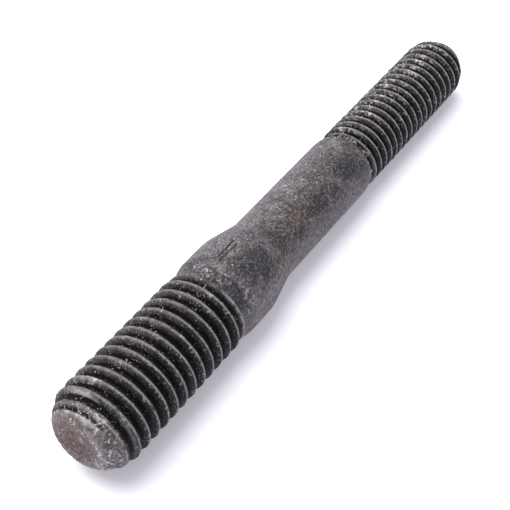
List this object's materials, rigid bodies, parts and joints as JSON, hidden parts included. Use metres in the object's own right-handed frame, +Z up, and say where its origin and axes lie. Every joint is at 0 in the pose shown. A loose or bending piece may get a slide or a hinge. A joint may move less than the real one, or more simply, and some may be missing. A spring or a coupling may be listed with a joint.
{
  "type": "double ended stud",
  "caption": "Stepped steel stud: a thicker threaded end to screw into a tapped hole, a collar, a plain shank and a thinner threaded end for a nut.",
  "frame": {"origin": "centre of the foot of the bounding box, on the ground the stud lies on", "axes": "+X along the stud from its thick end to its thin end, +Z up, +Y across; the stud's axis dips 1.4 degrees towards +X, as it comes to rest on its collar and its thin end"},
  "size_m": [0.0741, 0.01, 0.0106],
  "materials": {
    "blackened_steel": "dark worn steel with light rust"
  },
  "bodies": {
    "root": {"stud": "blackened_steel"}
  },
  "joints": []
}
